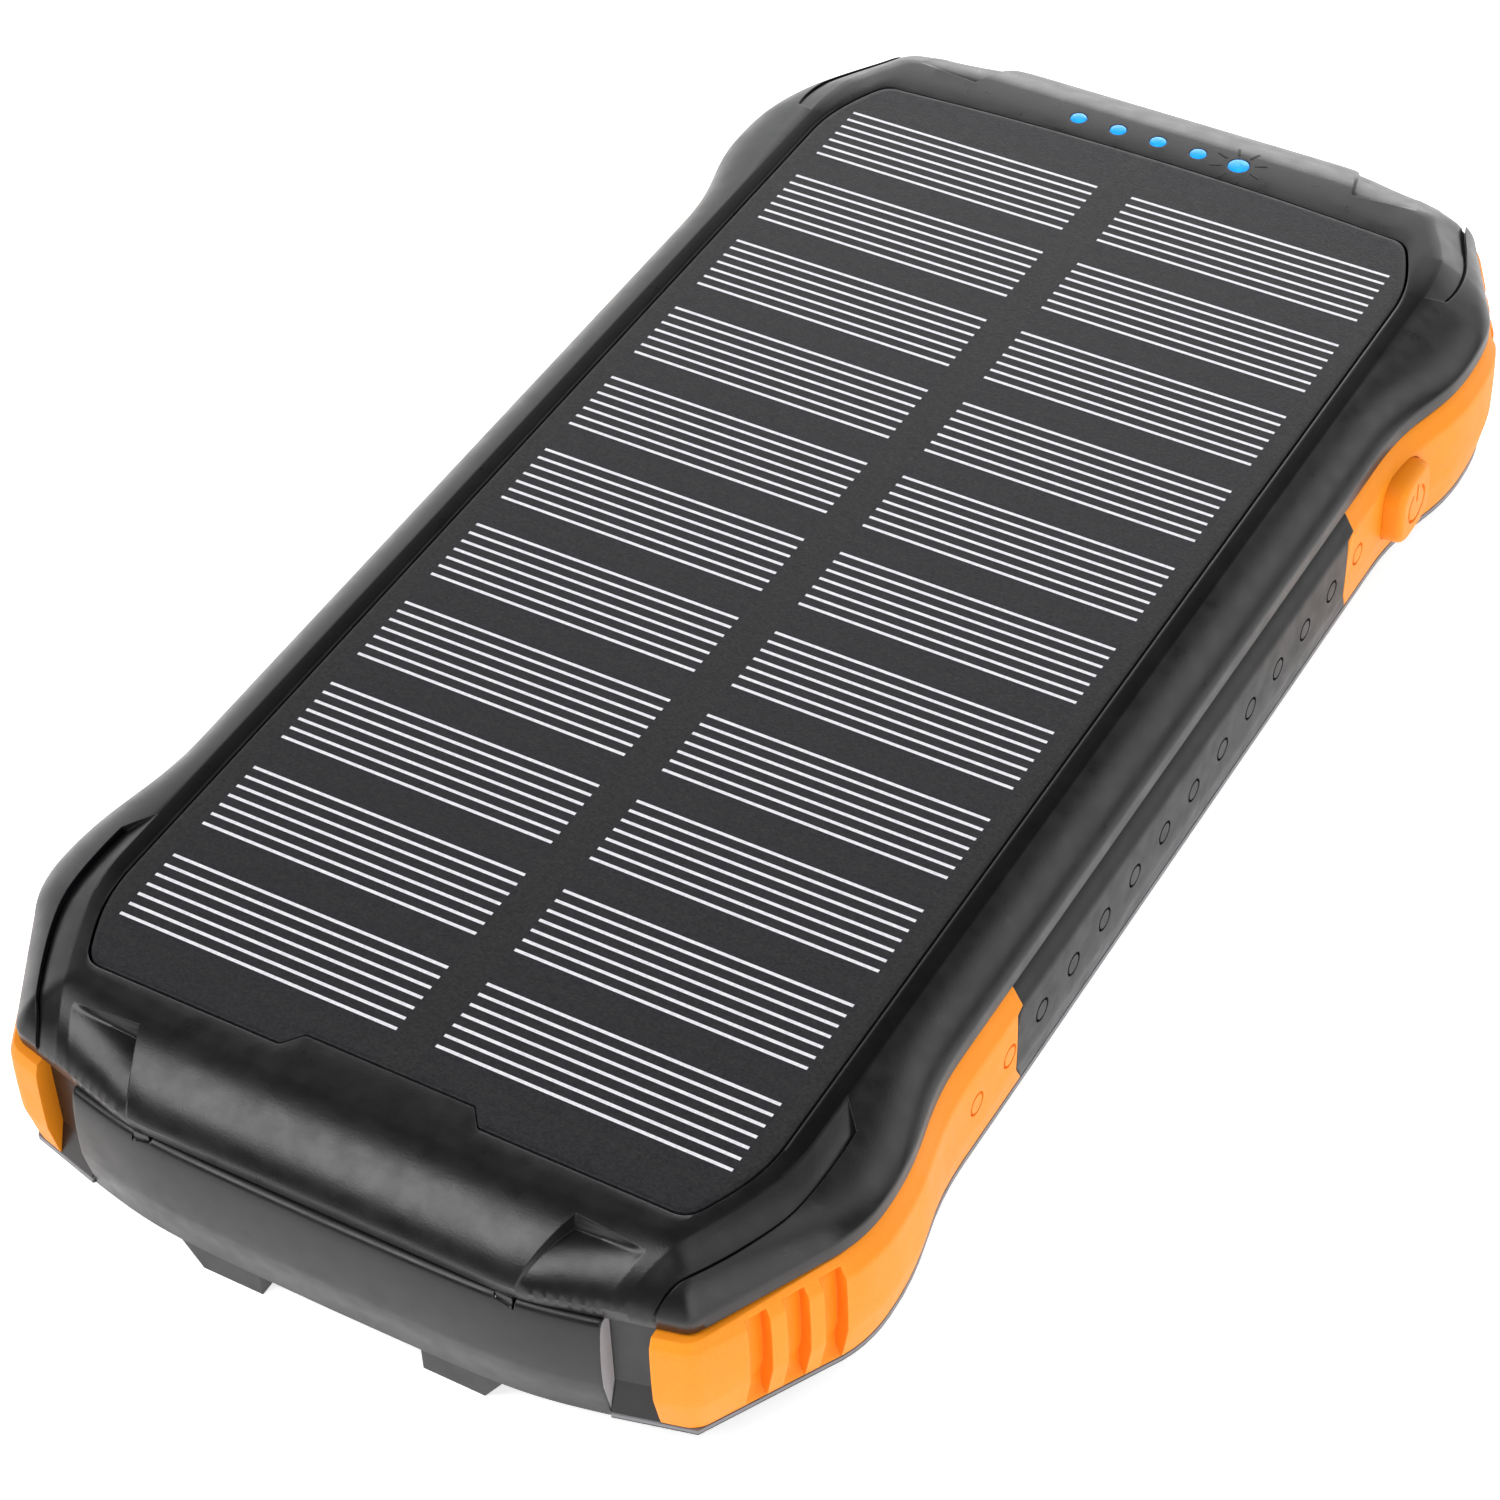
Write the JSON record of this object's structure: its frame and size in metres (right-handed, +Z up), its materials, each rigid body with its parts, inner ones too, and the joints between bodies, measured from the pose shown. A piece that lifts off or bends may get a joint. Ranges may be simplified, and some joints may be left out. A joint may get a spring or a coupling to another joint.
{
  "type": "solar power bank",
  "caption": "Rugged flat power bank with a solar panel on top, flared black case, orange corner bumpers, lit charge dots, side power button and a hinged socket cover.",
  "frame": {"origin": "centre of the footprint on the plane the four feet stand on", "axes": "+Z up out of the solar panel, +X towards the power button side, +Y towards the indicator end"},
  "size_m": [0.087, 0.1713, 0.0228],
  "materials": {
    "case_black": "satin black moulded plastic with fine grain",
    "rail_black": "satin black moulded plastic",
    "bumper_orange": "soft-touch orange rubber",
    "flap_black": "dark grey soft rubber",
    "panel_black": "dark circuit laminate",
    "cell_silicon": "dark blue-black silicon",
    "finger_silver": "printed silver lines",
    "panel_film": "clear matt film",
    "lens_blue": "lit azure light pipe",
    "print_black": "black print",
    "steel": "plated steel",
    "circuit_green": "green circuit board",
    "chip_black": "black epoxy",
    "cell_pouch": "silver pouch film",
    "foam_grey": "soft foam tape",
    "wire_red": "red silicone insulation",
    "wire_black": "black silicone insulation",
    "led_white": "white light-emitting chip",
    "ribbon_grey": "grey flat cable",
    "seal_grey": "soft seal"
  },
  "bodies": {
    "case": {"top_cover": "case_black", "bottom_cover": "case_black", "port_frame": "case_black", "foot_pad_near_left": "case_black", "foot_pad_near_right": "case_black", "foot_pad_far_left": "case_black", "foot_pad_far_right": "case_black", "side_rail_left": "rail_black", "side_rail_right": "rail_black", "bumper_near_left": "bumper_orange", "bumper_near_right": "bumper_orange", "bumper_far_left": "bumper_orange", "bumper_far_right": "bumper_orange", "panel_board": "panel_black", "solar_cells": "cell_silicon", "cell_fingers": "finger_silver", "panel_laminate": "panel_film", "panel_adhesive": "foam_grey", "indicator_lenses": "lens_blue", "sun_indicator_lens": "lens_blue", "sun_rays": "print_black", "switch_body": "steel", "switch_board": "circuit_green", "battery_cell_lower": "cell_pouch", "battery_cell_upper": "cell_pouch", "battery_foam": "foam_grey", "battery_tape": "foam_grey", "protection_board": "circuit_green", "main_board": "circuit_green", "usb_a_socket_left": "steel", "usb_a_socket_right": "steel", "usb_c_socket": "steel", "micro_usb_socket": "steel", "socket_tongues": "chip_black", "control_chips": "chip_black", "power_inductors": "chip_black", "filter_capacitors": "steel", "board_screws": "steel", "case_screws": "steel", "indicator_board": "circuit_green", "indicator_leds": "led_white", "battery_lead_positive": "wire_red", "battery_lead_negative": "wire_black", "panel_lead_positive": "wire_red", "panel_lead_negative": "wire_black", "indicator_ribbon": "ribbon_grey", "shell_seal": "seal_grey"},
    "cover": {"port_cover": "flap_black", "hinge_pin": "steel"},
    "button": {"power_button": "bumper_orange", "switch_plunger": "chip_black"}
  },
  "joints": [
    {"name": "port_cover_hinge", "type": "hinge", "parent": "case", "child": "cover", "pos_m": [0, -0.08425, 0.0156], "axis": [-1, 0, 0], "range_deg": [0, 90]},
    {"name": "power_button_press", "type": "slide", "parent": "case", "child": "button", "axis": [-1, 0, 0], "range_m": [0, 0.0006], "stiffness_N_per_m": 80}
  ]
}
